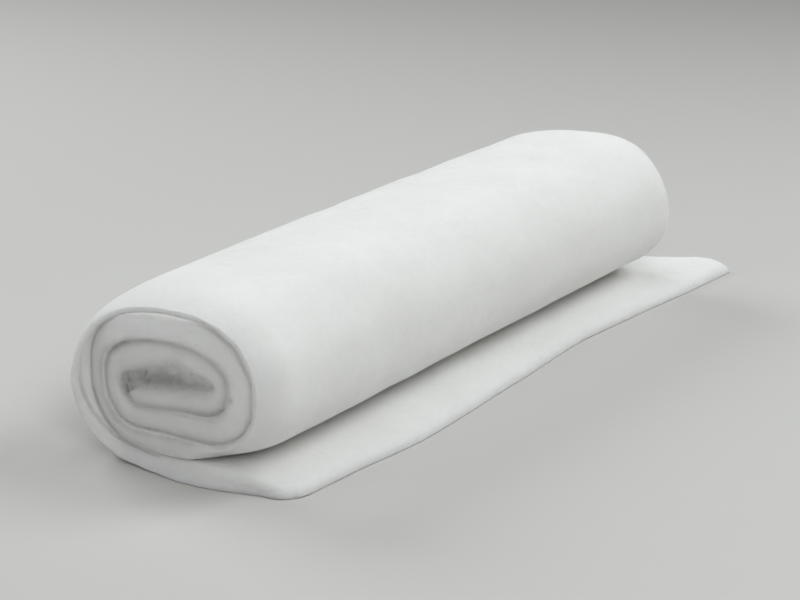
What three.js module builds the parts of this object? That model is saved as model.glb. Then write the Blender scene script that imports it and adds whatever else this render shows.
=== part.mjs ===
// A length of thick quilt batting, wound loosely into a flattened roll that lies on its own loose end.
// Millimetres, +Z up. The roll's axis runs along +Y, and the loose end lies out to +X.
// The origin is on the floor, under the middle of the whole length's box.
import * as THREE from 'three';

// The batting
const THICKNESS = 17.5; // where it is wound into the roll
const LAYER_GAP = 0.7; // between turns that lie close
const LOFT_SHARE = 0.82; // how much of the further room between two turns it lofts up into

// The roll's section, seen along +Y: the winding starts at the bottom and goes up the left side
const ROLL_HEIGHT = 165;
const ROLL_WIDTH = 223;
const TURNS = 3.18; // from the bottom of the outer turn to the batting's inner end
const FLAT_SHARE = 0.1; // the part of a turn, on each side of the bottom, that lies level
const FLAT_DROP = 4.5; // how far the level part presses the outline up
const FLAT_BLEND = 4; // how softly the outline runs into the level part

// The core was wound tighter than the outer two turns, which leaves more room round it, by turn
const CORE_ROOM = [
  { turn: 0, gap: 0 },
  { turn: 1.7, gap: 0 },
  { turn: 2, gap: 3.2 },
  { turn: 2.25, gap: 3 },
  { turn: 2.5, gap: 5 },
  { turn: 2.75, gap: 10.5 },
  { turn: 2.95, gap: 4 },
  { turn: 3.1, gap: 3.4 },
  { turn: 4, gap: 3.4 },
];

// How full the section's shoulders are, by turn: 2 is an ellipse, and more is squarer
const SHOULDERS = [
  { turn: 0, power: 2.65 },
  { turn: 1, power: 2.6 },
  { turn: 2, power: 2.4 },
  { turn: 2.65, power: 2.05 },
  { turn: 2.85, power: 2.05 },
  { turn: 3.15, power: 3 },
  { turn: 4, power: 3 },
];

// The roll is a little slack at its near end and stands higher and wider further on: shares of its size
const SWELL = [
  { y: 0, taller: 0, wider: 0 },
  { y: 60, taller: 0, wider: 0 },
  { y: 330, taller: 0.02, wider: 0 },
  { y: 700, taller: 0.017, wider: 0.018 },
  { y: 800, taller: 0.017, wider: 0.018 },
];

// The lean of the section, in degrees: the flat turns stand a little higher on their right
const LEAN = { outer: 5, core: 9, from: 1.6, to: 2.4, pivotX: -42 };

// The loose end's outer edge, a gentle wave: how far it reaches from the roll's middle at each place along +Y
const LOOSE_EDGE = [
  { y: 0, reach: 119 },
  { y: 90, reach: 125 },
  { y: 210, reach: 134 },
  { y: 360, reach: 128 },
  { y: 500, reach: 120.5 },
  { y: 620, reach: 128 },
  { y: 800, reach: 141 },
];
const NEAR_CORNER = 24; // radii of the loose end's two corners
const FAR_CORNER = 6;

// The loose end thins towards its outer edge: the share of its width from that edge, and its height there
const LOOSE_HEIGHTS = [
  { share: 0, height: 3 },
  { share: 0.03, height: 6.5 },
  { share: 0.1, height: 10 },
  { share: 0.3, height: 14 },
  { share: 0.65, height: 17 },
  { share: 1, height: THICKNESS },
];

// Round the hollow at the heart, the inner face is pressed thin on the left and lofts up over it:
// how much thicker than usual the batting is there, by turn
const HEART_LOFT = [
  { turn: 2.18, extra: -2 },
  { turn: 2.28, extra: -1 },
  { turn: 2.4, extra: 6 },
  { turn: 2.55, extra: 6 },
  { turn: 2.66, extra: 3 },
  { turn: 2.74, extra: 0 },
  { turn: 2.84, extra: -2.5 },
  { turn: 2.94, extra: 0 },
  { turn: 4, extra: 0 },
];

// Where the two long cut edges lie along +Y, by turn. A turn under zero is on the loose end.
const CUT_EDGES = [
  { turn: -1, near: 16, far: 800 },
  { turn: -0.86, near: 15, far: 800 },
  { turn: -0.75, near: 13, far: 794 },
  { turn: -0.62, near: 10, far: 778 },
  { turn: -0.4, near: 6, far: 756 },
  { turn: 0, near: 3, far: 732 },
  { turn: 0.1, near: 2, far: 725 },
  { turn: 0.17, near: -4, far: 720 },
  { turn: 0.25, near: -8, far: 716 },
  { turn: 0.33, near: -2, far: 711 },
  { turn: 0.42, near: 9, far: 708 },
  { turn: 0.5, near: 10, far: 714 },
  { turn: 0.58, near: 4, far: 716 },
  { turn: 0.66, near: 0, far: 706 },
  { turn: 0.8, near: 0, far: 716 },
  { turn: 0.9, near: 3, far: 709 },
  { turn: 1, near: 1, far: 702 },
  { turn: 1.3, near: -1, far: 700 },
  { turn: 1.55, near: -2, far: 694 },
  { turn: 1.8, near: -2, far: 698 },
  { turn: 2.1, near: 1, far: 698 },
  { turn: 4, near: 2, far: 698 },
];

// How far from each cut edge the batting's faces round off, by turn: the outer face near and far, and the
// inner face. Faces that lie against the next turn stay full. level is where outer and inner meet at the cut,
// in thicknesses outwards from the middle.
const ROUNDING = [
  { turn: -1, near: 6, far: 5, inner: 8, level: 0.35 },
  { turn: 0, near: 9, far: 9, inner: 3, level: 0.3 },
  { turn: 0.1, near: 24, far: 10, inner: 3, level: 0.1 },
  { turn: 0.17, near: 20, far: 12, inner: 3, level: 0.1 },
  { turn: 0.24, near: 16, far: 12, inner: 3, level: 0.1 },
  { turn: 0.32, near: 30, far: 22, inner: 3, level: -0.25 },
  { turn: 0.42, near: 72, far: 46, inner: 2, level: -0.42 },
  { turn: 0.5, near: 68, far: 40, inner: 2, level: -0.44 },
  { turn: 0.58, near: 46, far: 24, inner: 2, level: -0.44 },
  { turn: 0.68, near: 34, far: 16, inner: 2, level: -0.44 },
  { turn: 0.8, near: 34, far: 16, inner: 2, level: -0.4 },
  { turn: 0.9, near: 40, far: 22, inner: 2, level: -0.3 },
  { turn: 0.95, near: 26, far: 20, inner: 3, level: -0.1 },
  { turn: 1, near: 3, far: 3, inner: 3, level: 0.1 },
  { turn: 1.85, near: 3, far: 3, inner: 8, level: 0.1 },
  { turn: 2.05, near: 6, far: 6, inner: 4, level: 0 },
  { turn: 2.3, near: 8, far: 8, inner: 8, level: 0 },
  { turn: 2.85, near: 8, far: 8, inner: 7, level: 0 },
  { turn: 3, near: 4, far: 4, inner: 12, level: 0 },
  { turn: 4, near: 4, far: 4, inner: 12, level: 0 },
];

// How thin the outer face's rounding runs out towards the cut, by turn: 1 is a plain round edge
const TAPER = [
  { turn: 0, power: 1 },
  { turn: 0.32, power: 1 },
  { turn: 0.45, power: 1.7 },
  { turn: 0.9, power: 1.7 },
  { turn: 1, power: 1 },
  { turn: 4, power: 1 },
];

// The cut edges slant: how far the batting's inner face stands out past its outer face at each end, by turn
const SLANT = [
  { turn: -1, near: -2, far: 0 },
  { turn: -0.75, near: -4, far: 0 },
  { turn: -0.4, near: -6, far: 0 },
  { turn: 0, near: -7, far: 0 },
  { turn: 0.1, near: -4, far: 0 },
  { turn: 0.17, near: -2, far: 2 },
  { turn: 0.3, near: 4, far: 4 },
  { turn: 0.95, near: 4, far: 4 },
  { turn: 1.3, near: 7, far: 7 },
  { turn: 1.8, near: 7, far: 7 },
  { turn: 2.1, near: 2, far: 2 },
  { turn: 4, near: 0, far: 0 },
];
const SLANT_DEPTH = 40; // how far from the cut edge the slant dies out

const BLUNT_CUT = 0.8; // how blunt the rounded cut edges stay

// The batting's inner end, rounded over its last stretch
const INNER_TURN_LENGTH = 250;
const INNER_END_SOFT = 12;
const INNER_END_BLUNT = 2;

// The mesh: sections across the loose end, for each turn and along the roll
const LOOSE_STEPS = 8;
const STEPS_A_TURN = 30;
const END_STEPS = [0, 0.0025, 0.008, 0.018, 0.035, 0.065]; // shares of the length, from each cut edge
const MIDDLE_STEPS = 9;

const PITCH = THICKNESS + LAYER_GAP;
const MIDDLE_Z = (ROLL_HEIGHT + PITCH / 2) / 2;
const HALF_HEIGHT = MIDDLE_Z - THICKNESS / 2;
const HALF_WIDTH = (ROLL_WIDTH - THICKNESS + PITCH) / 2;
const MIDDLE_X = PITCH * 0.3125;

function smoothStep(low, high, value) {
  const share = THREE.MathUtils.clamp((value - low) / (high - low), 0, 1);
  return share * share * (3 - 2 * share);
}

// The larger of two heights, with a soft change from one to the other
function softMax(first, second, blend) {
  const apart = Math.abs(first - second);
  return Math.max(first, second) + Math.max(blend - apart, 0) ** 2 / (4 * blend);
}

// A smooth curve through the named columns of a short table, which never swings past its rows
function along(table, key, column, value) {
  const last = table.length - 1;
  let row = 0;
  while (row < last - 1 && value > table[row + 1][key]) {
    row += 1;
  }
  const rise = (index) => {
    const from = table[THREE.MathUtils.clamp(index, 0, last - 1)];
    const to = table[THREE.MathUtils.clamp(index, 0, last - 1) + 1];
    return (to[column] - from[column]) / (to[key] - from[key]);
  };
  const slope = (before, after) => (before * after > 0 ? (2 * before * after) / (before + after) : 0);
  const width = table[row + 1][key] - table[row][key];
  const share = THREE.MathUtils.clamp((value - table[row][key]) / width, 0, 1);
  const rest = 1 - share;
  return (
    table[row][column] * (1 + 2 * share) * rest ** 2 +
    table[row + 1][column] * (1 + 2 * rest) * share ** 2 +
    slope(rise(row - 1), rise(row)) * width * share * rest ** 2 -
    slope(rise(row), rise(row + 1)) * width * rest * share ** 2
  );
}

// How many pitches the winding has moved inwards: it stands still where the turn lies level
function wound(turn) {
  const whole = Math.floor(turn);
  const share = (turn - whole - FLAT_SHARE) / (1 - 2 * FLAT_SHARE);
  return whole + THREE.MathUtils.clamp(share, 0, 1);
}

// The middle of the batting's thickness in the section, at a number of turns from the outer bottom
function windingPoint(turn) {
  const inward = PITCH * wound(turn) + along(CORE_ROOM, 'turn', 'gap', turn);
  const coreShare = smoothStep(LEAN.from, LEAN.to, turn);
  const lean = THREE.MathUtils.degToRad(LEAN.outer + (LEAN.core - LEAN.outer) * coreShare);
  const sine = Math.sin(2 * Math.PI * turn);
  const cosine = Math.cos(2 * Math.PI * turn);
  const power = along(SHOULDERS, 'turn', 'power', turn);
  const size = (Math.abs(sine) ** power + Math.abs(cosine) ** power) ** (1 / power);
  const across = (-(HALF_WIDTH - inward) * sine) / size;
  const drop = FLAT_DROP * Math.max(cosine, 0);
  const high = (-(HALF_HEIGHT - inward + drop) * cosine) / size;
  const x = MIDDLE_X + across * Math.cos(lean) - high * Math.sin(lean);
  const z = MIDDLE_Z + across * Math.sin(lean) + high * Math.cos(lean);
  const rise = Math.tan(THREE.MathUtils.degToRad(LEAN.core)) * coreShare;
  const floor = THICKNESS / 2 + inward + Math.max(x - LEAN.pivotX, 0) * rise;
  return new THREE.Vector2(x, cosine > 0 ? softMax(z, floor, FLAT_BLEND * (1 + coreShare)) : z);
}

// The direction outwards from the winding in the section. On the loose end it is straight down.
function outwardAt(turn) {
  const here = windingPoint(turn);
  const ahead = windingPoint(Math.min(turn + 0.004, TURNS));
  const behind = turn > 0 ? windingPoint(turn - 0.004) : here.add(new THREE.Vector2(1, 0));
  const tangent = ahead.sub(behind).normalize();
  return new THREE.Vector2(-tangent.y, tangent.x);
}

// Half the batting's thickness between a turn and the next one in: it lofts up into most of the room there
function loftBetween(turn) {
  const apart = windingPoint(turn).sub(windingPoint(turn + 1));
  const room = Math.min(outwardAt(turn).dot(apart), outwardAt(turn + 1).dot(apart)) - PITCH;
  return (THICKNESS + LOFT_SHARE * Math.max(room, 0)) / 2;
}

// The loose end's outer edge at a place along +Y, with its rounded corners
function looseReach(y, near, far) {
  const radius = y - near < far - y ? NEAR_CORNER : FAR_CORNER;
  const fromCorner = Math.min(y - near, far - y, radius);
  const roundedOff = radius - Math.sqrt(radius ** 2 - (radius - fromCorner) ** 2);
  return along(LOOSE_EDGE, 'y', 'reach', y) - roundedOff;
}

// Shares of the length at which the batting's sections lie
function sectionShares() {
  const first = END_STEPS[END_STEPS.length - 1];
  const shares = [...END_STEPS];
  for (let step = 1; step < MIDDLE_STEPS; step += 1) {
    shares.push(first + ((1 - 2 * first) * step) / MIDDLE_STEPS);
  }
  return [...shares, ...END_STEPS.map((share) => 1 - share).reverse()];
}

// One line along the batting's length for each step of the winding, the loose end first
function windingSteps() {
  const steps = [];
  for (let step = 0; step < LOOSE_STEPS; step += 1) {
    steps.push({ turn: 0, loose: (step / LOOSE_STEPS) ** 1.5 });
  }
  const turnSteps = Math.round(TURNS * STEPS_A_TURN);
  for (let step = 0; step <= turnSteps; step += 1) {
    steps.push({ turn: step / STEPS_A_TURN, loose: 1 });
  }
  return steps;
}

// How full a rounded cut edge is, from 0 at the cut to 1 where the batting has its whole thickness
function fullness(distance, soft) {
  const share = THREE.MathUtils.clamp(distance / soft, 0, 1);
  return Math.sqrt(1 - (1 - share) ** 2);
}

// How far the batting's outer and inner face lie from its middle, away from the cut edges
function halves(step) {
  const outer = step.turn < 1 ? THICKNESS / 2 : loftBetween(step.turn - 1);
  if (step.loose < 1) {
    return { outer, inner: along(LOOSE_HEIGHTS, 'share', 'height', step.loose) - THICKNESS / 2 };
  }
  if (step.turn > TURNS - 1) {
    return { outer, inner: THICKNESS / 2 + along(HEART_LOFT, 'turn', 'extra', step.turn) };
  }
  return { outer, inner: loftBetween(step.turn) };
}

// The heights of the batting's outer and inner face over its middle, at one place
function faces(half, step, edgeTurn, length, share) {
  const outerSoft = along(ROUNDING, 'turn', share < 0.5 ? 'near' : 'far', edgeTurn);
  const innerSoft = along(ROUNDING, 'turn', 'inner', edgeTurn);
  const level = along(ROUNDING, 'turn', 'level', edgeTurn) * THICKNESS;
  const fromEnd = Math.min(share, 1 - share) * length;
  const innerEnd = fullness((TURNS - step.turn) * INNER_TURN_LENGTH + INNER_END_BLUNT, INNER_END_SOFT);
  const taper = along(TAPER, 'turn', 'power', edgeTurn);
  const outerFull = fullness(fromEnd + BLUNT_CUT, outerSoft) ** taper * innerEnd;
  const innerFull = fullness(fromEnd + BLUNT_CUT, innerSoft) * innerEnd;
  return [level + (half.outer - level) * outerFull, level - (half.inner + level) * innerFull];
}

// Both faces of the batting, as grids of points: one row for each winding step, one column for each section
function battingPoints() {
  const shares = sectionShares();
  const steps = windingSteps();
  const grids = [[], []];
  const start = windingPoint(0);
  steps.forEach((step) => {
    const here = windingPoint(step.turn);
    const outward = outwardAt(step.turn);
    const half = halves(step);
    const edgeTurn = step.loose < 1 ? step.loose - 1 : step.turn;
    const near = along(CUT_EDGES, 'turn', 'near', edgeTurn);
    const far = along(CUT_EDGES, 'turn', 'far', edgeTurn);
    const nearSlant = along(SLANT, 'turn', 'near', edgeTurn);
    const farSlant = along(SLANT, 'turn', 'far', edgeTurn);
    shares.forEach((share) => {
      const straightY = near + (far - near) * share;
      const reach = looseReach(straightY, near, far);
      const x = step.loose < 1 ? THREE.MathUtils.lerp(reach, start.x, step.loose) : here.x;
      const slantShare = 1 - smoothStep(0, SLANT_DEPTH, Math.min(straightY - near, far - straightY));
      const slant = (share < 0.5 ? nearSlant : -farSlant) * slantShare;
      const wide = 1 + along(SWELL, 'y', 'wider', straightY);
      const tall = 1 + along(SWELL, 'y', 'taller', straightY);
      faces(half, step, edgeTurn, far - near, share).forEach((height, face) => {
        const y = straightY + slant * (height / THICKNESS + 0.5);
        grids[face].push((x + outward.x * height) * wide, y, (here.y + outward.y * height) * tall);
      });
    });
  });
  return { outer: grids[0], inner: grids[1], rows: steps.length, columns: shares.length };
}

// The closed body: both faces, the two long cut edges, and the outer and inner end
function battingGeometry() {
  const { outer, inner, rows, columns } = battingPoints();
  const count = rows * columns;
  const faceList = [];
  const quad = (a, b, c, d) => faceList.push(a, b, c, a, c, d);
  for (let row = 0; row < rows - 1; row += 1) {
    for (let column = 0; column < columns - 1; column += 1) {
      const corner = row * columns + column;
      const below = corner + columns;
      quad(corner, below, below + 1, corner + 1);
      quad(count + corner, count + corner + 1, count + below + 1, count + below);
    }
    const nearEdge = row * columns;
    const farEdge = nearEdge + columns - 1;
    quad(nearEdge, count + nearEdge, count + nearEdge + columns, nearEdge + columns);
    quad(farEdge, farEdge + columns, count + farEdge + columns, count + farEdge);
  }
  for (let column = 0; column < columns - 1; column += 1) {
    const last = (rows - 1) * columns + column;
    quad(column, column + 1, count + column + 1, count + column);
    quad(last, count + last, count + last + 1, last + 1);
  }
  const geometry = new THREE.BufferGeometry();
  geometry.setAttribute('position', new THREE.Float32BufferAttribute([...outer, ...inner], 3));
  geometry.setIndex(faceList);
  geometry.computeVertexNormals();
  geometry.computeBoundingBox();
  return geometry;
}

const wadding = new THREE.MeshStandardMaterial({ color: 0xe9ebea, roughness: 0.96, metalness: 0 });
const roll = new THREE.Mesh(battingGeometry(), wadding);
roll.name = 'batting_roll';
const box = roll.geometry.boundingBox;
roll.position.set(-(box.min.x + box.max.x) / 2, -(box.min.y + box.max.y) / 2, -box.min.z);

const model = new THREE.Group();
model.add(roll);
export default model;
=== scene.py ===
# A length of thick white quilt batting, wound into a flattened roll that lies on its own loose end.
# The strip is followed by its turn: -1 at the loose end's outer edge, 0 at the bottom of the outermost
# turn, and then one more for each turn inwards. Places along the roll are counted from its near end, along
# +Y. Sizes of the batting are in millimetres, all other sizes in metres, and named angles in degrees.
import math

import bpy
import numpy as np
from mathutils import Matrix, Vector, noise


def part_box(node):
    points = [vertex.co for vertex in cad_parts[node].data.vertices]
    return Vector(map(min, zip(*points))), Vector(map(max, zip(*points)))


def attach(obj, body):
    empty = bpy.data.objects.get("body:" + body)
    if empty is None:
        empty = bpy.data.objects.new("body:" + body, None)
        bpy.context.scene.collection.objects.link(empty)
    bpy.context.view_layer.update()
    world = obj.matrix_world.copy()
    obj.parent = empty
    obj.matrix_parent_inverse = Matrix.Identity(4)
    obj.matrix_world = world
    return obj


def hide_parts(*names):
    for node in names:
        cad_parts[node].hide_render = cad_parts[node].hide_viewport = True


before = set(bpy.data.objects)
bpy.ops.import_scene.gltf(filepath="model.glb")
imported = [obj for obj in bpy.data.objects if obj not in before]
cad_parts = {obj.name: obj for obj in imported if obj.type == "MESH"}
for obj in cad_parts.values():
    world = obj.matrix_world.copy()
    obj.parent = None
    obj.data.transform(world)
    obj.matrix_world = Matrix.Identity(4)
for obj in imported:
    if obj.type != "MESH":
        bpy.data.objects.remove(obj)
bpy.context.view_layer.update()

MM = 0.001

# The batting and the roll's section, as in the solid
THICKNESS = 17.5
LAYER_GAP = 0.7  # between turns that lie close
LOFT_SHARE = 0.82  # how much of the further room between two turns it lofts up into
ROLL_HEIGHT = 165
ROLL_WIDTH = 223
TURNS = 3.18  # from the bottom of the outer turn to the batting's inner end
FLAT_SHARE = 0.1  # the part of a turn, on each side of the bottom, that lies level
FLAT_DROP = 4.5  # how far the level part presses the outline up
FLAT_BLEND = 4  # how softly the outline runs into the level part
MIDDLE_PITCHES = 0.3125  # how far the section's middle lies towards the loose end, in pitches

# The flat turns stand a little higher on their right
OUTER_LEAN = 5
CORE_LEAN = 9
LEAN_FROM = 1.6  # the turns between which the one lean changes to the other
LEAN_TO = 2.4
LEAN_PIVOT = -42  # where the core's underside starts to rise

# The cut ends, the loose end's corners and the batting's inner end
NEAR_CORNER = 24  # radii
FAR_CORNER = 6
SLANT_DEPTH = 40  # how far from the cut its slant dies out
BLUNT_CUT = 0.8  # how far the rounded edges stand out past the cut's place
INNER_TURN_LENGTH = 250  # about the length of the innermost turn
INNER_END_SOFT = 12  # the inner end is rounded over this length
MID_ROLL = 400  # the place along the roll where the loose end's width is taken
TANGENT_STEP = 0.004  # turns

# Turn and the extra room round the core
CORE_ROOM = ((0, 0), (1.7, 0), (2, 3.2), (2.25, 3), (2.5, 5), (2.75, 10.5), (2.95, 4), (3.1, 3.4), (4, 3.4))

# Turn and how full the section's shoulders are
SHOULDERS = ((0, 2.65), (1, 2.6), (2, 2.4), (2.65, 2.05), (2.85, 2.05), (3.15, 3), (4, 3))

# Place along the roll, and how much taller and wider the roll is there, as shares
SWELL = ((0, 0, 0), (60, 0, 0), (330, 0.02, 0), (700, 0.017, 0.018), (800, 0.017, 0.018))

# Place along the roll and the loose end's reach from the roll's middle
LOOSE_EDGE = ((0, 119), (90, 125), (210, 134), (360, 128), (500, 120.5), (620, 128), (800, 141))

# Share of the loose end from its outer edge and the height there
LOOSE_HEIGHTS = ((0, 3), (0.03, 6.5), (0.1, 10), (0.3, 14), (0.65, 17), (1, THICKNESS))

# Turn and how much thicker the batting is round the hollow at the heart
HEART_LOFT = (
    (2.18, -2), (2.28, -1), (2.4, 6), (2.55, 6), (2.66, 3), (2.74, 0), (2.84, -2.5), (2.94, 0), (4, 0),
)

# Turn, and where the near and the far cut edge lie along the roll
CUT_EDGES = (
    (-1, 17, 800), (-0.86, 16, 800), (-0.75, 15, 794), (-0.62, 13, 778), (-0.4, 10, 756), (0, 7, 732),
    (0.1, 4, 725), (0.17, -3, 720), (0.25, -8, 716), (0.33, -2, 711), (0.42, 9, 708), (0.5, 10, 714),
    (0.58, 4, 716), (0.66, 0, 706), (0.8, 0, 716), (0.9, 3, 709), (1, 1, 702), (1.3, -1, 700),
    (1.55, -2, 694), (1.8, -2, 698), (2.1, 1, 698), (4, 2, 698),
)

# Turn, how far from the cut the outer face rounds off at its near and far end, the same of the inner face,
# and the height at which they meet, in thicknesses outwards from the middle
ROUNDING = (
    (-1, 4, 5, 8, 0.4), (0, 5, 6, 3, 0.42), (0.1, 16, 10, 3, 0.2), (0.17, 18, 12, 3, 0.1),
    (0.24, 16, 12, 2, 0.1), (0.32, 32, 20, 2, -0.25), (0.42, 76, 38, 1.5, -0.43),
    (0.5, 72, 32, 1.5, -0.45), (0.58, 50, 22, 1.5, -0.45), (0.68, 36, 16, 1.5, -0.45),
    (0.8, 38, 16, 1.5, -0.44), (0.88, 58, 22, 1.5, -0.45), (0.93, 54, 20, 1.5, -0.43),
    (0.965, 26, 8, 1.2, -0.2), (1, 3, 1.5, 1, 0.1), (1.03, 0.8, 0.8, 0.8, 0.1),
    (1.85, 0.8, 0.8, 2, 0.1), (2.05, 1, 1, 2, 0), (2.3, 1.2, 1.2, 8, 0), (2.85, 1.2, 1.2, 7, 0),
    (3, 1.2, 1.2, 10, 0), (4, 1.2, 1.2, 10, 0),
)

# Turn, and how far the inner face stands out past the outer face at the near and at the far cut edge
SLANT = (
    (-1, -3, 0), (-0.75, -6, 0), (-0.4, -10, 0), (0, -11, 0), (0.1, -6, 0), (0.17, -3, 2), (0.3, 4, 4),
    (0.95, 4, 4), (1.3, 7, 7), (1.8, 7, 7), (2.1, 2, 2), (4, 0, 0),
)

# Turn, and how thin the outer face's rounding runs out towards the cut: 1 is a plain round edge
TAPER = ((0, 1), (0.32, 1.1), (0.45, 2.1), (0.93, 2.1), (1, 1), (4, 1))

# The surface: rows across the strip, which are closer on the outer turn, and places along each row
LOOSE_ROWS = 36
LOOSE_CROWDING = 1.6  # the loose end's rows crowd towards its outer edge: 1 would spread them evenly
OUTER_ROWS = 186
OUTER_END = 1.1  # the turn at which the closer rows end
INNER_ROWS = 180
HEART_ROWS = 9
ROUND_STEPS = 14
MIDDLE_STEPS = 76
LOFT = 0.17  # what the fibres stand proud of the solid's faces, so that close turns nearly touch
LOFT_TURN = 0.1  # the turn by which they stand proud in full, from none on the loose end
LOOSE_EDGE_SOFT = 3  # the loose end's outer edge is rounded over this width
LOOSE_EDGE_START = 0.1  # the share of that rounding that the first row already has

# Unevenness: wavelength and height of the slow lumps of the whole body, of the ragged cut edges' waves
# and of the tufts on them, each with a number of its own that keeps their noise apart
BODY_LUMPS = ((95, 1.2), (34, 0.6))
BODY_NUMBER = 3
EDGE_WAVES = ((70, 1.6), (16, 0.8), (5, 0.35))
EDGE_NUMBER = 1
EDGE_WAVE_DEPTH = 40  # how far from the cut the waves die out
FAR_EDGE_AWAY = 100  # how far apart in the noise the two cut edges' waves are taken
CUT_TUFTS = ((6, 0.7), (2.4, 0.35))
TUFT_NUMBER = 5
TUFT_STRETCH = (0.4, 1, 1)  # tufts are longer along the cut edge
CUT_DEPTH = 7  # how far from the cut the tufts die out
FLOOR_FADE = 8  # lumps fade out below this height, so that the underside stays flat
KIND_SHIFT = (7.3, 1.7, 0)  # how far apart the noise of one number and of the next is taken, in wavelengths
OCTAVE_SHIFT = (3.1, 0, 5.9)  # the same of one wavelength's and the next one's
NOISE_SEED = 4  # without it the noise would be another one in each run

# Single fibres on the batting: how many of each kind, and the shortest and the longest
SURFACE_FIBRES = 6000
SURFACE_LENGTHS = (12, 40)
GROOVE_FIBRES = 9500  # at each cut end
GROOVE_LENGTHS = (3, 9)
LOOSE_FIBRES = 3500
LOOSE_LENGTHS = (2, 7)
HEART_FIBRES = 9000
HEART_LENGTHS = (7, 16)

# How high a fibre arches, at least and at most
SURFACE_LIFT = (0.05, 0.25)
GROOVE_LIFT = (0.3, 1)
LOOSE_LIFT = (0.1, 1)
HEART_LIFT = (0.1, 0.5)

# Where fibres have their roots
FACE_TURNS = (0.05, 1)  # the part of the outer turn that lies open, with fibres on it
RIM_TURN = 1.04  # from this turn inwards the outer face's edges border on a groove too
GROOVE_STEPS = 5  # over the grooves, roots are fewer than this many steps from where the rounding ends
EDGE_TURN = -0.97  # the turn up to which fibres stand off the loose end's outer edge
MOUTH_CLEAR = 1.5  # in the hollow, roots are at least this far in from both cut edges
HEART_DEPTH = 24  # and at most this far

# How fibres run
FIBRE_SEED = 11
LYING_BEND = 0.6  # in radians over a fibre's length
BRIDGE_SCATTER = 0.5  # how far bridging fibres stray from the straight way across
BRIDGE_SPREAD = (1, 0.1, 1)  # the same by x, y and z
BRIDGE_BACK = 0.4  # the share of a bridging fibre that lies behind its root
SIDEWAYS = (1, 0.6, 0.25)  # the spread of the directions at the loose end in x, y and z
ACROSS_HOLLOW = (0.6, 0.25, 0.6)  # the same in the hollow
LAID_DOWN = 0.8  # how far a standing fibre's own direction is laid down along the surface
STANDING_CURL = 0.25  # how far its tip bends aside, as a share of its length
ARCH_SHARE = 0.8  # the share of a whole arch that it goes through
LEAST_STEP = 0.4  # steps of the grid that are shorter count as this long
ROW_MARGIN = 1.001  # the grid is read up to just short of its last row

# How fibres are built
FINE = 0.05  # radii
MIDDLING = 0.08
COARSE = 0.11
TIP_SHARE = 0.4  # the share of the radius that is left at a fibre's tips
FIBRE_POINTS = 4
FLOOR_CLEAR = 0.15  # how far a fibre's middle stays above the floor

PITCH = THICKNESS + LAYER_GAP
MIDDLE_Z = (ROLL_HEIGHT + PITCH / 2) / 2
HALF_HEIGHT = MIDDLE_Z - THICKNESS / 2
HALF_WIDTH = (ROLL_WIDTH - THICKNESS + PITCH) / 2
MIDDLE_X = PITCH * MIDDLE_PITCHES
FACE_PLACES = 2 * (ROUND_STEPS + 1) + MIDDLE_STEPS - 1
RING_PLACES = 2 * FACE_PLACES - 2

# Colours: the batting where it is thin and where it is dense, the floor, the lamps and the light all around
THIN_FIBRE = (0.86, 0.857, 0.83)
DENSE_FIBRE = (0.935, 0.933, 0.908)
FLOOR_COLOR = (0.62, 0.615, 0.59, 1)
LAMP_COLOR = (0.962, 0.983, 1)
WORLD_COLOR = (1, 0.99, 0.93, 1)
WORLD_STRENGTH = 0.03

FLOOR_SIZE = 14

# The camera, in the frame's metres, as the photograph was taken: its lens and sensor are in millimetres
CAMERA_PLACE = (1.0776, -1.6119, 0.7195)
CAMERA_AZIMUTH = 34.914
CAMERA_DOWN = 18.931
CAMERA_LENS = 91.55
CAMERA_SENSOR = 36

# The studio's soft lights: name, place, width, and power in watts, all turned to one place in the roll
SOFT_LIGHTS = (
    ("overhead", (0, 0, 2.8), 2.4, 20),
    ("right_back", (1.6, 1.4, 2.2), 1.6, 39.5),
    ("left", (-2.4, 0.2, 1.8), 1.6, 34),
    ("right_front", (1.8, -1.8, 1.8), 1.6, 27),
    ("left_front", (-1.4, -2.2, 2.0), 1.6, 9),
)
LIGHT_TARGET = (0, 0, 0.1)


def smooth_step(low, high, value):
    """A soft rise from 0 to 1 between two limits."""
    share = np.clip((value - low) / (high - low), 0, 1)
    return share * share * (3 - 2 * share)


def soft_max(first, second, blend):
    """The larger of two heights, with a soft change from one to the other."""
    return np.maximum(first, second) + np.maximum(blend - np.abs(first - second), 0) ** 2 / (4 * blend)


def along(table, column, value):
    """A smooth curve through one column of a short table, which never swings past its rows."""
    rows = np.array(table, float)
    places = rows[:, 0]
    sizes = rows[:, column]
    rise = np.diff(sizes) / np.diff(places)
    before = rise[:-1]
    after = rise[1:]
    same_way = before * after > 0
    total = np.where(same_way, before + after, 1)
    slope = np.concatenate([rise[:1], np.where(same_way, 2 * before * after / total, 0), rise[-1:]])
    row = np.clip(np.searchsorted(places, value) - 1, 0, len(rows) - 2)
    width = places[row + 1] - places[row]
    share = np.clip((value - places[row]) / width, 0, 1)
    rest = 1 - share
    return (
        sizes[row] * (1 + 2 * share) * rest**2
        + sizes[row + 1] * (1 + 2 * rest) * share**2
        + slope[row] * width * share * rest**2
        - slope[row + 1] * width * rest * share**2
    )


def unit(vectors):
    """The same directions, all of length 1."""
    return vectors / np.maximum(np.linalg.norm(vectors, axis=-1, keepdims=True), 1e-9)


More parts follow.
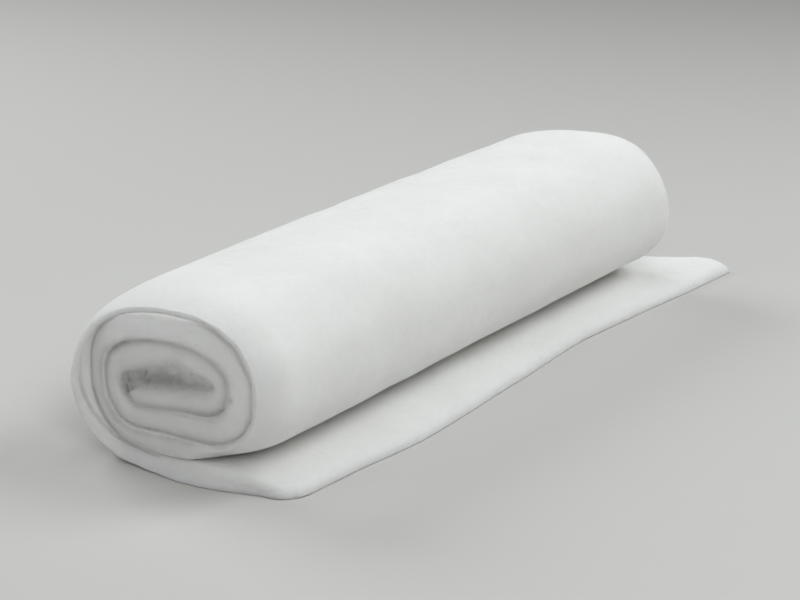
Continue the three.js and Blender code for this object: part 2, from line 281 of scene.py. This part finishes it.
def winding_point(turn):
    """The middle of the batting's thickness in the section, as rows of x and z, at each turn."""
    whole = np.floor(turn)
    wound = whole + np.clip((turn - whole - FLAT_SHARE) / (1 - 2 * FLAT_SHARE), 0, 1)
    inward = PITCH * wound + along(CORE_ROOM, 1, turn)
    core_share = smooth_step(LEAN_FROM, LEAN_TO, turn)
    lean = np.radians(OUTER_LEAN + (CORE_LEAN - OUTER_LEAN) * core_share)
    sine = np.sin(2 * np.pi * turn)
    cosine = np.cos(2 * np.pi * turn)
    power = along(SHOULDERS, 1, turn)
    size = (np.abs(sine) ** power + np.abs(cosine) ** power) ** (1 / power)
    across = -(HALF_WIDTH - inward) * sine / size
    high = -(HALF_HEIGHT - inward + FLAT_DROP * np.maximum(cosine, 0)) * cosine / size
    x = MIDDLE_X + across * np.cos(lean) - high * np.sin(lean)
    z = MIDDLE_Z + across * np.sin(lean) + high * np.cos(lean)
    rise = math.tan(math.radians(CORE_LEAN)) * core_share
    floor = THICKNESS / 2 + inward + np.maximum(x - LEAN_PIVOT, 0) * rise
    return np.stack([x, np.where(cosine > 0, soft_max(z, floor, FLAT_BLEND * (1 + core_share)), z)], 1)


def outward_at(turn):
    """The direction outwards from the winding in the section. On the loose end it is straight down."""
    ahead = winding_point(np.minimum(turn + TANGENT_STEP, TURNS))
    tangent = ahead - winding_point(np.maximum(turn - TANGENT_STEP, 0))
    tangent[turn <= 0] = (-1, 0)
    tangent = unit(tangent)
    return np.stack([-tangent[:, 1], tangent[:, 0]], 1)


def loft_between(turn):
    """Half the batting's thickness between a turn and the next one in, where it lofts up into the room."""
    apart = winding_point(turn) - winding_point(turn + 1)
    outer_room = (outward_at(turn) * apart).sum(1)
    inner_room = (outward_at(turn + 1) * apart).sum(1)
    return (THICKNESS + LOFT_SHARE * np.maximum(np.minimum(outer_room, inner_room) - PITCH, 0)) / 2


def loose_reach(y, near, far):
    """The loose end's outer edge at a place along the roll, with its rounded corners."""
    radius = np.where(y - near < far - y, NEAR_CORNER, FAR_CORNER)
    from_corner = np.clip(np.minimum(y - near, far - y), 0, radius)
    rounded_off = radius - np.sqrt(radius**2 - (radius - from_corner) ** 2)
    return along(LOOSE_EDGE, 1, y) - rounded_off


def strip_turns():
    """The turn of each row, from the loose end's outer edge to the inner end."""
    loose = (np.arange(LOOSE_ROWS) / LOOSE_ROWS) ** LOOSE_CROWDING - 1
    outer = np.linspace(0, OUTER_END, OUTER_ROWS + 1)[:-1]
    heart_soft = INNER_END_SOFT / INNER_TURN_LENGTH
    inner = np.linspace(OUTER_END, TURNS - heart_soft, INNER_ROWS + 1)[:-1]
    angle = np.linspace(np.pi / 2, 0, HEART_ROWS + 1)
    return np.concatenate([loose, outer, inner, TURNS - heart_soft * (1 - np.cos(angle))])


def half_thicknesses(turns):
    """How far the batting's outer and inner face lie from its middle, away from the cut edges."""
    outer = np.where(turns < 1, THICKNESS / 2, loft_between(np.clip(turns - 1, 0, TURNS - 1)))
    heart = THICKNESS / 2 + along(HEART_LOFT, 1, turns)
    inner = np.where(turns > TURNS - 1, heart, loft_between(np.clip(turns, 0, TURNS - 1)))
    from_edge = (turns + 1) * along(LOOSE_EDGE, 1, MID_ROLL) / LOOSE_EDGE_SOFT
    rounded = np.sqrt(1 - (1 - np.clip(from_edge, LOOSE_EDGE_START, 1)) ** 2)
    loose = along(LOOSE_HEIGHTS, 1, np.minimum(turns, 0) + 1) * rounded - THICKNESS / 2
    proud = LOFT * smooth_step(0, LOFT_TURN, turns)
    return outer + proud, np.where(turns < 0, loose, inner) + proud


def face_places(near, far, near_soft, far_soft):
    """Places along the roll on one face, and how full the batting is there: 0 at the cuts, 1 between."""
    angle = np.linspace(0, np.pi / 2, ROUND_STEPS + 1)
    near_zone = near - BLUNT_CUT + near_soft * (1 - np.cos(angle))
    far_zone = far + BLUNT_CUT - far_soft * (1 - np.cos(angle[::-1]))
    middle = np.linspace(near_zone[:, -1], far_zone[:, 0], MIDDLE_STEPS + 1, axis=1)[:, 1:-1]
    full = np.concatenate([np.sin(angle), np.ones(MIDDLE_STEPS - 1), np.sin(angle[::-1])])
    return np.concatenate([near_zone, middle, far_zone], 1), full


def strip_grid():
    """The strip as closed rings of points, one for each row, in millimetres.

    With it come each point's place in the flat batting, how far it is from the nearer cut edge, and each
    row's turn.
    """
    turns = strip_turns()
    middle = winding_point(np.maximum(turns, 0))[:, :, None]
    outward = outward_at(np.maximum(turns, 0))[:, :, None]
    outer_half, inner_half = half_thicknesses(turns)
    near = along(CUT_EDGES, 1, turns)[:, None]
    far = along(CUT_EDGES, 2, turns)[:, None]
    near_slant = along(SLANT, 1, turns)[:, None]
    far_slant = -along(SLANT, 2, turns)[:, None]
    thin = along(TAPER, 1, turns)[:, None]

    # The height at which the two faces meet at the cuts, kept inside the batting where it is thin
    level = np.maximum(along(ROUNDING, 4, turns) * THICKNESS, -inner_half / 2)
    level = np.where(turns < 0, np.maximum(level, (THICKNESS / 2 - inner_half) / 2), level)[:, None]
    inner_end = np.clip((TURNS - turns) * INNER_TURN_LENGTH / INNER_END_SOFT, 0, 1)
    inner_full = np.sqrt(1 - (1 - inner_end) ** 2)[:, None]

    # How far each row lies from the loose end's outer edge along the unwound batting
    loose_width = along(LOOSE_EDGE, 1, MID_ROLL) - middle[0, 0]
    strip_x = np.where(turns < 0, middle[0, 0] - turns * loose_width, middle[:, 0, 0])
    steps = np.hypot(np.diff(strip_x), np.diff(middle[:, 1, 0]))
    lengths = np.concatenate([[0], np.cumsum(steps)])[:, None]

    grids = []
    for surface, columns, taper in ((outer_half, (1, 2), thin), (-inner_half, (3, 3), 1)):
        near_soft, far_soft = (along(ROUNDING, column, turns)[:, None] for column in columns)
        y, full = face_places(near, far, near_soft, far_soft)
        height = level + (surface[:, None] - level) * full**taper * inner_full
        reach = loose_reach(y, near, far)
        loose_x = reach + (middle[0, 0] - reach) * (1 + turns[:, None])
        x = np.where(turns[:, None] < 0, loose_x, middle[:, 0])
        from_cut = np.minimum(y - near, far - y)
        slant = np.where(y < (near + far) / 2, near_slant, far_slant)
        slant *= 1 - smooth_step(0, SLANT_DEPTH, from_cut)
        place_y = y + slant * (height / THICKNESS + 0.5)
        place_x = (x + outward[:, 0] * height) * (1 + along(SWELL, 2, y))
        place_z = (middle[:, 1] + outward[:, 1] * height) * (1 + along(SWELL, 1, y))
        grids.append(np.stack([place_x, place_y, place_z, lengths + 0 * y, y, height, from_cut], 2))
    ring = np.concatenate([grids[0], grids[1][:, -2:0:-1]], 1)
    return ring[:, :, :3], ring[:, :, 3:6], ring[:, :, 6], turns


def waves(points, octaves, kind):
    """Smooth noise vectors at points, in millimetres: a sum of (wavelength, height) octaves."""
    flat = points.reshape(-1, 3)
    total = np.zeros(flat.shape)
    for octave, (wavelength, height) in enumerate(octaves):
        shift = Vector([kind * first + octave * second for first, second in zip(KIND_SHIFT, OCTAVE_SHIFT)])
        total += [height * noise.noise_vector(Vector(place) / wavelength + shift) for place in flat.tolist()]
    return total.reshape(points.shape)


def roughen(rings, flat_places, from_cut):
    """Lumps of the whole body, which move close turns together, waves along the cut edges, and tufts."""
    noise.seed_set(NOISE_SEED)
    lumps = waves(rings, BODY_LUMPS, BODY_NUMBER)
    tufts = waves(flat_places * TUFT_STRETCH, CUT_TUFTS, TUFT_NUMBER)
    tufts *= 1 - smooth_step(0, CUT_DEPTH, from_cut + BLUNT_CUT)[:, :, None]
    edge = np.zeros((len(rings), 2, 3))
    edge[:, :, 0] = flat_places[:, :1, 0]
    edge[:, 1, 1] = FAR_EDGE_AWAY
    edge_waves = waves(edge, EDGE_WAVES, EDGE_NUMBER)[:, :, 1]
    far_side = flat_places[:, :, 1] > flat_places[:, :, 1].mean()
    edge_wave = np.where(far_side, edge_waves[:, 1:], edge_waves[:, :1])
    rough = lumps + tufts
    rough[:, :, 1] += edge_wave * (1 - smooth_step(0, EDGE_WAVE_DEPTH, from_cut))
    rough[:, :, 2] *= smooth_step(0, FLOOR_FADE, rings[:, :, 2])
    points = rings + rough
    points[:, :, 2] = np.maximum(points[:, :, 2], 0)
    return points


def strip_faces(rows, places):
    """Quads round the strip, and the two ends closed by pairs of places on the two faces."""
    faces = []
    for row in range(rows - 1):
        for place in range(places):
            after = (place + 1) % places
            corner = row * places
            faces.append((corner + place, corner + places + place, corner + places + after, corner + after))
    half = places // 2
    for start, flip in ((0, False), ((rows - 1) * places, True)):
        for place in range(half):
            opposite = (places - place) % places
            quad = (start + place, start + place + 1, start + places - place - 1, start + opposite)
            quad = tuple(dict.fromkeys(quad))
            if len(quad) > 2:
                faces.append(quad[::-1] if flip else quad)
    return faces


def new_mesh(name, points, faces, flat_places):
    """A smooth mesh from points in millimetres, which remembers each point's place in the flat batting."""
    mesh = bpy.data.meshes.new(name)
    mesh.from_pydata((points.reshape(-1, 3) * MM).tolist(), [], faces)
    mesh.shade_smooth()
    place = mesh.attributes.new("flat_place", "FLOAT_VECTOR", "POINT")
    place.data.foreach_set("vector", (flat_places.reshape(-1, 3) * MM).astype(np.float32).ravel())
    mesh.update()
    return mesh


def batting_grid():
    """The rough strip where the solid lies, its points' places in the flat batting, and its rows' turns."""
    rings, flat_places, from_cut, turns = strip_grid()
    solid = np.array(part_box("batting_roll")) / MM
    plain = rings.reshape(-1, 3)
    shift = (solid[0] + solid[1] - plain.min(0) - plain.max(0)) / 2
    points = roughen(rings, flat_places, from_cut)
    points[:, :, :2] += shift[:2]
    return points, flat_places, turns


def on_grid(grid, row, place):
    """What a grid holds between its rows and places. Places go round, and rows stop at both ends."""
    row = np.clip(row, 0, len(grid) - ROW_MARGIN)
    low_row = row.astype(int)
    low_place = np.floor(place).astype(int)
    row_share = (row - low_row)[..., None]
    place_share = (place - low_place)[..., None]
    here = low_place % RING_PLACES
    after = (low_place + 1) % RING_PLACES
    first = grid[low_row, here] * (1 - place_share) + grid[low_row, after] * place_share
    second = grid[low_row + 1, here] * (1 - place_share) + grid[low_row + 1, after] * place_share
    return first * (1 - row_share) + second * row_share


def grid_steps(points):
    """The step to the next row and to the next place at each point of the strip, and the way out of it."""
    to_row = np.gradient(points, axis=0)
    to_place = (np.roll(points, -1, 1) - np.roll(points, 1, 1)) / 2
    return to_row, to_place, unit(np.cross(to_row, to_place))


def pick_roots(random, points, allowed, count):
    """Rows and places for fibres, spread evenly over the surface where it is allowed."""
    to_row, to_place, _ = grid_steps(points)
    area = np.linalg.norm(np.cross(to_row, to_place), axis=2) * allowed
    cell = random.choice(area.size, count, p=area.ravel() / area.sum())
    return cell // RING_PLACES + random.random(count), cell % RING_PLACES + random.random(count)


def lying_fibres(random, points, allowed, count, lengths, lift):
    """Fibres that lie on the surface and follow it, slightly curled, with both ends worked into it."""
    row, place = pick_roots(random, points, allowed, count)
    to_row, to_place, out = grid_steps(points)
    row_step = np.linalg.norm(on_grid(to_row, row, place), axis=1)[:, None]
    place_step = np.linalg.norm(on_grid(to_place, row, place), axis=1)[:, None]
    share = np.linspace(0, 1, FIBRE_POINTS)
    length = random.uniform(*lengths, count)[:, None]
    heading = random.uniform(0, 2 * np.pi, count)[:, None]
    angle = heading + random.normal(0, LYING_BEND, count)[:, None] * share
    rows = row[:, None] + np.cos(angle) * length * (share - 0.5) / np.maximum(row_step, LEAST_STEP)
    places = place[:, None] + np.sin(angle) * length * (share - 0.5) / np.maximum(place_step, LEAST_STEP)
    height = random.uniform(*lift, count)[:, None] * np.sin(np.pi * share) - FINE
    normal = on_grid(out, rows, places)
    return on_grid(points, rows, places) + normal * height[:, :, None], normal[:, 1], (row, place)


def bridging_fibres(random, points, allowed, count, lengths, lift):
    """Fibres across the grooves of a cut end, from one turn's edge to the next one's."""
    row, place = pick_roots(random, points, allowed, count)
    out = on_grid(grid_steps(points)[2], row, place)
    scatter = random.normal(0, BRIDGE_SCATTER, (count, 3)) * BRIDGE_SPREAD
    toward = unit(unit(out * (1, 0, 1)) + scatter)
    from_end = np.sign(out[:, 1:2]) * (0, 1, 0)
    share = np.linspace(0, 1, FIBRE_POINTS)[None, :, None]
    length = random.uniform(*lengths, count)[:, None, None]
    height = random.uniform(*lift, count)[:, None, None] * np.sin(np.pi * share)
    path = on_grid(points, row, place)[:, None] + toward[:, None] * length * (share - BRIDGE_BACK)
    return path + from_end[:, None] * height, unit(np.cross(toward, from_end)), (row, place)


def standing_fibres(random, points, allowed, count, lengths, spread, away, lift):
    """Fibres rooted in the surface that reach along it, or away from it to cross a hollow."""
    row, place = pick_roots(random, points, allowed, count)
    out = on_grid(grid_steps(points)[2], row, place)
    toward = unit(random.normal(0, 1, (count, 3)) * spread)
    toward = unit(toward - out * (toward * out).sum(1, keepdims=True) * LAID_DOWN + out * away)
    share = np.linspace(0, 1, FIBRE_POINTS)[None, :, None]
    length = random.uniform(*lengths, count)[:, None, None]
    curl = unit(np.cross(toward, out)) * random.normal(0, STANDING_CURL, (count, 1))
    height = random.uniform(*lift, count)[:, None, None] * np.sin(np.pi * share * ARCH_SHARE)
    path = on_grid(points, row, place)[:, None] + toward[:, None] * length * share
    path = path + curl[:, None] * length * share**2 + out[:, None] * (height - FINE)
    return path, unit(np.cross(toward, out)), (row, place)


def prism_faces(count):
    """The faces of three-sided prisms, each with its two ends closed."""
    faces = []
    for fibre in range(count):
        first = fibre * FIBRE_POINTS * 3
        last = first + (FIBRE_POINTS - 1) * 3
        for low in range(first, last, 3):
            for side, after in ((0, 1), (1, 2), (2, 0)):
                faces.append((low + side, low + after, low + 3 + after, low + 3 + side))
        faces += [(first, first + 2, first + 1), (last, last + 1, last + 2)]
    return faces


def add_fibres(name, radius, paths, reference, flat_place, material):
    """Thin three-sided prisms along paths, tapered to both ends."""
    paths[:, :, 2] = np.maximum(paths[:, :, 2], FLOOR_CLEAR)
    tangent = unit(np.gradient(paths, axis=1))
    side = unit(np.cross(tangent, reference[:, None]))
    upward = np.cross(tangent, side)
    bulge = np.sin(np.pi * np.linspace(0, 1, FIBRE_POINTS))
    taper = radius * (TIP_SHARE + (1 - TIP_SHARE) * bulge)[None, :, None]
    corners = [
        paths + taper * (math.cos(angle) * side + math.sin(angle) * upward)
        for angle in (0, 2 * math.pi / 3, 4 * math.pi / 3)
    ]
    points = np.stack(corners, 2)
    faces = prism_faces(len(paths))
    flat_places = np.repeat(flat_place, FIBRE_POINTS * 3, 0)
    piece = bpy.data.objects.new(name, new_mesh(name, points, faces, flat_places))
    bpy.context.scene.collection.objects.link(piece)
    piece.data.materials.append(material)
    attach(piece, "root")
    return piece


def face_zones(turn, place):
    """Where on the strip its open faces are, and the loose end's outer edge."""
    on_outer_face = (place > ROUND_STEPS) & (place < FACE_PLACES - ROUND_STEPS)
    on_inner_face = (place > FACE_PLACES + ROUND_STEPS) & (place < RING_PLACES - ROUND_STEPS)
    outer_turn = (turn > FACE_TURNS[0]) & (turn < FACE_TURNS[1])
    open_faces = (on_outer_face & outer_turn) | (on_inner_face & (turn < 0))
    return open_faces, (turn < EDGE_TURN) & on_inner_face


def groove_zones(turn, place):
    """Where the edges beside the grooves between the turns are, at the near and at the far end."""
    by_groove = (turn > RIM_TURN) | ((turn > FACE_TURNS[0]) & (place > FACE_PLACES))
    zones = []
    for from_cut in (np.minimum(place, RING_PLACES - place), np.abs(place - FACE_PLACES + 1)):
        zones.append(by_groove & (from_cut > ROUND_STEPS - GROOVE_STEPS) & (from_cut < ROUND_STEPS))
    return zones


def mouth_zone(turn, place, along_roll):
    """Where the hollow's walls are at its two mouths."""
    in_heart = turn > TURNS - 1
    heart = along_roll[in_heart[:, 0]]
    in_near_mouth = (along_roll > heart.min() + MOUTH_CLEAR) & (along_roll < heart.min() + HEART_DEPTH)
    in_far_mouth = (along_roll < heart.max() - MOUTH_CLEAR) & (along_roll > heart.max() - HEART_DEPTH)
    return in_heart & (place > FACE_PLACES) & (in_near_mouth | in_far_mouth)


def add_all_fibres(points, flat_places, turns, material):
    """Fibres on the open faces, over the grooves, at the loose end's outer edge and in the hollow."""
    random = np.random.default_rng(FIBRE_SEED)
    place = np.arange(RING_PLACES)[None, :]
    turn = turns[:, None]
    faces, edge = face_zones(turn, place)
    near_grooves, far_grooves = groove_zones(turn, place)
    mouths = mouth_zone(turn, place, points[:, :, 1])
    lying = lying_fibres(random, points, faces, SURFACE_FIBRES, SURFACE_LENGTHS, SURFACE_LIFT)
    near_end = bridging_fibres(random, points, near_grooves, GROOVE_FIBRES, GROOVE_LENGTHS, GROOVE_LIFT)
    far_end = bridging_fibres(random, points, far_grooves, GROOVE_FIBRES, GROOVE_LENGTHS, GROOVE_LIFT)
    loose_end = standing_fibres(
        random, points, edge, LOOSE_FIBRES, LOOSE_LENGTHS, spread=SIDEWAYS, away=0, lift=LOOSE_LIFT
    )
    in_hollow = standing_fibres(
        random, points, mouths, HEART_FIBRES, HEART_LENGTHS, spread=ACROSS_HOLLOW, away=1, lift=HEART_LIFT
    )
    kinds = (
        ("surface_fibres", FINE, lying),
        ("near_end_fibres", COARSE, near_end),
        ("far_end_fibres", COARSE, far_end),
        ("loose_end_fibres", FINE, loose_end),
        ("heart_fibres", MIDDLING, in_hollow),
    )
    return [
        add_fibres(name, radius, paths, reference, on_grid(flat_places, *root), material)
        for name, radius, (paths, reference, root) in kinds
    ]


def add_node(tree, kind, inputs=None, **settings):
    """One shader node, its settings, and its inputs: a value, or a socket to link from."""
    node = tree.nodes.new(kind)
    for name, value in settings.items():
        setattr(node, name, value)
    for name, value in (inputs or {}).items():
        if isinstance(value, bpy.types.NodeSocket):
            tree.links.new(value, node.inputs[name])
        else:
            node.inputs[name].default_value = value
    return node


def add_noise(tree, place, scale, detail, roughness, distortion=0):
    """The value of a noise texture at each place."""
    look = {"Scale": scale, "Detail": detail, "Roughness": roughness, "Distortion": distortion}
    return add_node(tree, "ShaderNodeTexNoise", {"Vector": place, **look}).outputs["Fac"]


def new_material(name, values):
    """A material, its node tree and its shader, with the shader's values set."""
    material = bpy.data.materials.new(name)
    material.use_nodes = True
    shader = material.node_tree.nodes["Principled BSDF"]
    for socket, value in values.items():
        shader.inputs[socket].default_value = value
    return material, material.node_tree, shader


def wadding_material(name, subsurface, painted_light_lift):
    """Matt white fibre, slightly uneven in density, with fine crossing fibres in its surface, and lighter by
    a given amount of painted light.
    """
    material, tree, shader = new_material(name, {
        "Roughness": 0.95,
        "Specular IOR Level": 0.2,
        "Sheen Weight": 0.2,
        "Sheen Roughness": 0.6,
        "Subsurface Weight": subsurface,
        "Subsurface Radius": (1, 0.99, 0.95),
        "Subsurface Scale": 0.014,
    })
    place = add_node(tree, "ShaderNodeAttribute", attribute_name="flat_place").outputs["Vector"]
    body = add_node(tree, "ShaderNodeTexCoord").outputs["Object"]

    # Colour: how dense the batting is, slowly over the whole body and quickly from flock to flock, all
    # lifted by any painted light
    dense = add_noise(tree, body, scale=16, detail=3, roughness=0.5)
    flocks = add_noise(tree, place, scale=120, detail=4, roughness=0.6, distortion=1.5)
    both = add_node(tree, "ShaderNodeMix", {"Factor": 0.4, "A": dense, "B": flocks}, data_type="FLOAT")
    tone = add_node(tree, "ShaderNodeValToRGB", {"Fac": both.outputs["Result"]})
    for stop, position, color in zip(tone.color_ramp.elements, (0.3, 0.7), (THIN_FIBRE, DENSE_FIBRE)):
        stop.position = position
        stop.color = (*(value + painted_light_lift for value in color), 1)
    tree.links.new(tone.outputs["Color"], shader.inputs["Base Color"])

    # Relief: crossing wisps, flocks, and thin layers that lie flat in the batting
    wisps = add_noise(tree, place, scale=420, detail=6, roughness=0.7, distortion=3)
    stretched = add_node(tree, "ShaderNodeMapping", {"Vector": place, "Scale": (90, 90, 900)})
    layers = add_noise(
        tree, stretched.outputs["Vector"], scale=1, detail=3, roughness=0.6, distortion=0.6
    )
    fine = add_node(tree, "ShaderNodeMath", {0: wisps, 1: flocks}, operation="ADD").outputs["Value"]
    height = add_node(tree, "ShaderNodeMath", {0: fine, 1: layers}, operation="ADD").outputs["Value"]
    bump = add_node(tree, "ShaderNodeBump", {"Height": height, "Strength": 0.4, "Distance": 0.0012})
    tree.links.new(bump.outputs["Normal"], shader.inputs["Normal"])
    return material


def floor_material():
    """Plain, pale and matt."""
    return new_material("pale_floor", {"Base Color": FLOOR_COLOR, "Roughness": 0.8})[0]


def add_batting():
    """The wound strip, which stands in the solid's place, and its single fibres."""
    points, flat_places, turns = batting_grid()
    mesh = new_mesh("batting", points, strip_faces(len(points), RING_PLACES), flat_places)
    roll = bpy.data.objects.new("wound_batting", mesh)
    bpy.context.scene.collection.objects.link(roll)
    roll.data.materials.append(wadding_material("wadding", subsurface=0.8, painted_light_lift=0))
    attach(roll, "root")
    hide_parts("batting_roll")
    # The fibres' copy is painted lighter: painted light for the light that would scatter through the thin
    # fibres, which lightens the grooves they cover
    fibre_material = wadding_material("wadding_fibre", subsurface=0, painted_light_lift=0.05)
    fibres = add_all_fibres(points, flat_places, turns, fibre_material)


def add_floor():
    """A plain floor far past the picture's edges."""
    bpy.ops.mesh.primitive_plane_add(size=FLOOR_SIZE)
    floor = bpy.context.object
    floor.name = "floor"
    floor.data.materials.append(floor_material())


def add_area_light(name, place, size, power):
    """A round soft light that shines on the roll."""
    light = bpy.data.lights.new(name, "AREA")
    light.shape = "DISK"
    light.size = size
    light.energy = power
    light.color = LAMP_COLOR
    lamp = bpy.data.objects.new(name, light)
    lamp.location = place
    lamp.rotation_euler = (Vector(LIGHT_TARGET) - Vector(place)).to_track_quat("-Z", "Y").to_euler()
    bpy.context.scene.collection.objects.link(lamp)


def add_light():
    """The soft lights, and a little light from all around."""
    world = bpy.data.worlds.new("studio")
    world.use_nodes = True
    background = world.node_tree.nodes["Background"]
    background.inputs["Color"].default_value = WORLD_COLOR
    background.inputs["Strength"].default_value = WORLD_STRENGTH
    bpy.context.scene.world = world
    for name, place, size, power in SOFT_LIGHTS:
        add_area_light(name, place, size, power)
    bpy.context.scene.view_settings.view_transform = "Standard"


def add_camera():
    """The camera, turned from +Y towards -X and tilted down."""
    turned = math.radians(CAMERA_AZIMUTH)
    down = math.radians(CAMERA_DOWN)
    level = math.cos(down)
    forward = Vector((-math.sin(turned) * level, math.cos(turned) * level, -math.sin(down)))
    right = Vector((math.cos(turned), math.sin(turned), 0))
    camera = bpy.data.cameras.new("camera")
    camera.lens = CAMERA_LENS
    camera.sensor_width = CAMERA_SENSOR
    holder = bpy.data.objects.new("camera", camera)
    axes = Matrix((right, right.cross(forward), -forward)).transposed()
    holder.matrix_world = Matrix.Translation(CAMERA_PLACE) @ axes.to_4x4()
    bpy.context.scene.collection.objects.link(holder)
    bpy.context.scene.camera = holder


add_batting()
add_floor()
add_light()
add_camera()
